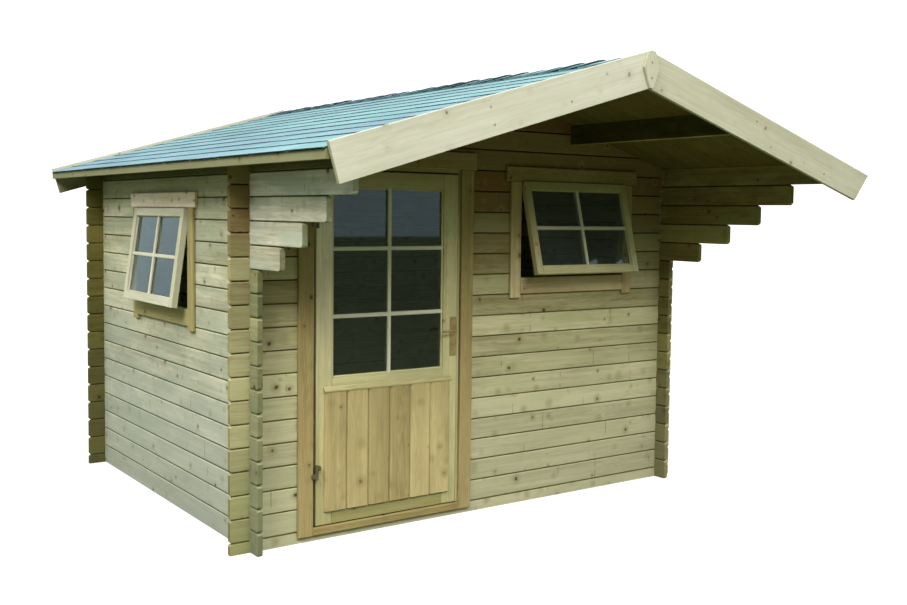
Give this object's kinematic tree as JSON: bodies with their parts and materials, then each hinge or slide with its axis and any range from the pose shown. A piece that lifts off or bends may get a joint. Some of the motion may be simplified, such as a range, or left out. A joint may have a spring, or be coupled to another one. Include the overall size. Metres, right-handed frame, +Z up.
{
  "type": "log cabin",
  "caption": "Small garden log cabin with interlocking wall logs, a deep gabled porch roof, a part-glazed hinged door and top-hung windows standing open.",
  "frame": {"origin": "centre of the cabin's bounding box on the ground, under the middle of the ridge", "axes": "+X to the right when facing the front, +Y from the porch to the rear wall along the ridge, +Z up"},
  "size_m": [3.351, 3.758, 2.3878],
  "materials": {
    "end_logs": "matt pressure-treated pine",
    "side_logs": "matt pressure-treated pine",
    "purlin_wood": "matt",
    "roof_boards": "matt",
    "shingles": "granular bitumen shingle",
    "barge_wood": "matt planed pine",
    "trim_wood": "matt stained pine",
    "joinery": "matt planed pine",
    "panel_boards": "matt planed pine",
    "glass": "clear",
    "hinge_steel": "dull",
    "brass": "dull",
    "floor_wood": "matt"
  },
  "bodies": {
    "cabin": {"front_wall_even_logs": "end_logs", "front_wall_odd_logs": "end_logs", "rear_wall_even_logs": "end_logs", "rear_wall_odd_logs": "end_logs", "left_wall_even_logs": "side_logs", "left_wall_odd_logs": "side_logs", "right_wall_even_logs": "side_logs", "right_wall_odd_logs": "side_logs", "ridge_purlin": "purlin_wood", "side_purlins": "purlin_wood", "left_roof_boards": "roof_boards", "right_roof_boards": "roof_boards", "left_shingles": "shingles", "right_shingles": "shingles", "ridge_cap": "shingles", "front_left_bargeboard": "barge_wood", "front_right_bargeboard": "barge_wood", "rear_left_bargeboard": "barge_wood", "rear_right_bargeboard": "barge_wood", "apex_plates": "barge_wood", "eaves_boards": "barge_wood", "door_frame": "joinery", "door_threshold": "trim_wood", "door_side_trims": "trim_wood", "door_top_trim": "trim_wood", "door_frame_hinges": "hinge_steel", "front_window_frame": "joinery", "front_window_side_trims": "trim_wood", "front_window_cross_trims": "trim_wood", "front_window_sash": "joinery", "front_window_glass": "glass", "side_window_frame": "joinery", "side_window_side_trims": "trim_wood", "side_window_cross_trims": "trim_wood", "side_window_sash": "joinery", "side_window_glass": "glass", "floor_joists": "floor_wood", "floor_boards": "floor_wood"},
    "door": {"door_leaf": "joinery", "door_panel": "panel_boards", "door_glass": "glass", "door_lock_plates": "brass", "door_leaf_hinges": "hinge_steel"},
    "lever": {"door_lever": "brass"}
  },
  "joints": [
    {"name": "door_hinge", "type": "hinge", "parent": "cabin", "child": "door", "pos_m": [-1.0745, -0.675, 0.96], "axis": [0, 0, -1], "range_deg": [0, 100]},
    {"name": "lever_pivot", "type": "hinge", "parent": "door", "child": "lever", "pos_m": [-0.2465, -0.655, 1.017], "axis": [0, -1, 0], "range_deg": [0, 35], "stiffness_Nm_per_rad": 1.2, "springref_deg": -22.92}
  ]
}
